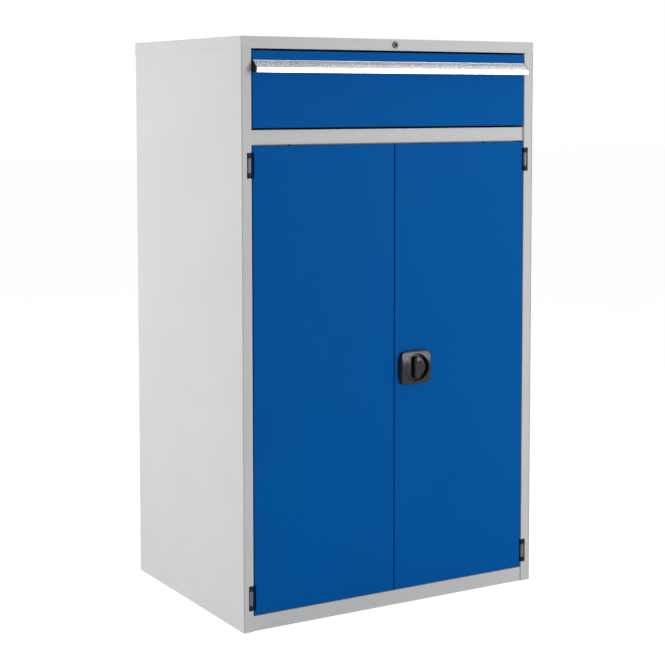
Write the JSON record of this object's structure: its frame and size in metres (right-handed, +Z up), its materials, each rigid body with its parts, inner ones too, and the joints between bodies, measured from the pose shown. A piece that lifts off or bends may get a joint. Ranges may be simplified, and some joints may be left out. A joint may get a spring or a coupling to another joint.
{
  "type": "tool cupboard",
  "caption": "Sheet-steel workshop cupboard with a full-width drawer over a pair of hinged doors, a turn handle driving rack-and-pinion lock rods, and adjustable shelves inside.",
  "frame": {"origin": "on the floor, at the middle of the carcass footprint", "axes": "+X to the right seen from the front, +Y to the back, +Z up"},
  "size_m": [0.9, 0.672, 1.5],
  "materials": {
    "carcass_grey": "light grey powder coat, fine orange peel",
    "front_blue": "blue powder coat, satin",
    "inner_grey": "light grey powder coat",
    "zinc_steel": "zinc plated",
    "hinge_steel": "dark burnished",
    "hinge_black": "black, satin",
    "handle_aluminium": "anodised extrusion",
    "cap_black": "moulded",
    "label_film": "clear film over a pale card",
    "handle_black": "moulded, satin",
    "lock_zamak": "die cast",
    "guide_nylon": "moulded",
    "lock_chrome": "polished",
    "lock_dark": "dark nickel",
    "buffer_rubber": "moulded"
  },
  "bodies": {
    "carcass": {"top_cover": "carcass_grey", "left_side_panel": "carcass_grey", "right_side_panel": "carcass_grey", "left_post": "carcass_grey", "right_post": "carcass_grey", "back_panel": "carcass_grey", "floor_panel": "carcass_grey", "bottom_rail": "carcass_grey", "middle_rail": "carcass_grey", "drawer_deck": "carcass_grey", "front_left_upright": "zinc_steel", "front_right_upright": "zinc_steel", "rear_left_upright": "zinc_steel", "rear_right_upright": "zinc_steel", "lower_shelf": "carcass_grey", "upper_shelf": "carcass_grey", "shelf_clips": "zinc_steel", "left_hinge_frame_leaves": "hinge_black", "right_hinge_frame_leaves": "hinge_black", "hinge_pins": "hinge_steel", "left_runner_outer": "zinc_steel", "right_runner_outer": "zinc_steel", "drawer_lock_barrel": "lock_dark", "drawer_lock_nut": "zinc_steel", "door_catch": "guide_nylon", "door_buffers": "buffer_rubber"},
    "drawer": {"drawer_front": "front_blue", "drawer_handle": "handle_aluminium", "handle_end_caps": "cap_black", "label_strip": "label_film", "drawer_left_side": "inner_grey", "drawer_right_side": "inner_grey", "drawer_back": "inner_grey", "drawer_bottom": "inner_grey", "left_runner_inner": "zinc_steel", "right_runner_inner": "zinc_steel"},
    "runner_middles": {"left_runner_middle": "zinc_steel", "right_runner_middle": "zinc_steel"},
    "left_door": {"left_door_panel": "front_blue", "left_door_stiffener": "inner_grey", "left_hinge_door_leaves": "hinge_steel", "catch_striker": "zinc_steel"},
    "right_door": {"right_door_panel": "front_blue", "right_door_stiffener": "inner_grey", "right_hinge_door_leaves": "hinge_steel", "handle_plate": "handle_black", "lock_case": "lock_zamak", "rod_guides": "guide_nylon"},
    "turn_handle": {"turn_handle": "handle_black", "lock_pinion": "zinc_steel"},
    "handle_key": {"handle_key_plug": "lock_chrome"},
    "upper_rod": {"upper_lock_rod": "zinc_steel"},
    "lower_rod": {"lower_lock_rod": "zinc_steel"},
    "drawer_lock": {"drawer_lock_plug": "lock_chrome", "drawer_lock_cam": "zinc_steel"}
  },
  "joints": [
    {"name": "drawer_slide", "type": "slide", "parent": "carcass", "child": "drawer", "axis": [0, -1, 0], "range_m": [0, 0.5]},
    {"name": "runner_slide", "type": "slide", "parent": "carcass", "child": "runner_middles", "axis": [0, -1, 0], "range_m": [0, 0.25]},
    {"name": "left_door_hinge", "type": "hinge", "parent": "carcass", "child": "left_door", "pos_m": [-0.426, -0.319, 0.635], "axis": [0, 0, -1], "range_deg": [0, 110]},
    {"name": "right_door_hinge", "type": "hinge", "parent": "carcass", "child": "right_door", "pos_m": [0.426, -0.319, 0.635], "axis": [0, 0, 1], "range_deg": [0, 110]},
    {"name": "handle_turn", "type": "hinge", "parent": "right_door", "child": "turn_handle", "pos_m": [0.0635, -0.323, 0.635], "axis": [0, 1, 0], "range_deg": [0, 90]},
    {"name": "upper_rod_slide", "type": "slide", "parent": "right_door", "child": "upper_rod", "axis": [0, 0, 1], "range_m": [0, 0.01414]},
    {"name": "lower_rod_slide", "type": "slide", "parent": "right_door", "child": "lower_rod", "axis": [0, 0, -1], "range_m": [0, 0.01414]},
    {"name": "handle_key_turn", "type": "hinge", "parent": "turn_handle", "child": "handle_key", "pos_m": [0.0635, -0.3385, 0.658], "axis": [0, 1, 0], "range_deg": [0, 90]},
    {"name": "drawer_lock_turn", "type": "hinge", "parent": "carcass", "child": "drawer_lock", "pos_m": [0, -0.325, 1.485], "axis": [0, 1, 0], "range_deg": [0, 90]}
  ],
  "couplings": [
    {"joint": "runner_slide", "follows": "drawer_slide", "ratio": 0.5},
    {"joint": "handle_turn", "follows": "upper_rod_slide", "rad_per_m": 111.11},
    {"joint": "lower_rod_slide", "follows": "upper_rod_slide", "ratio": 1}
  ]
}
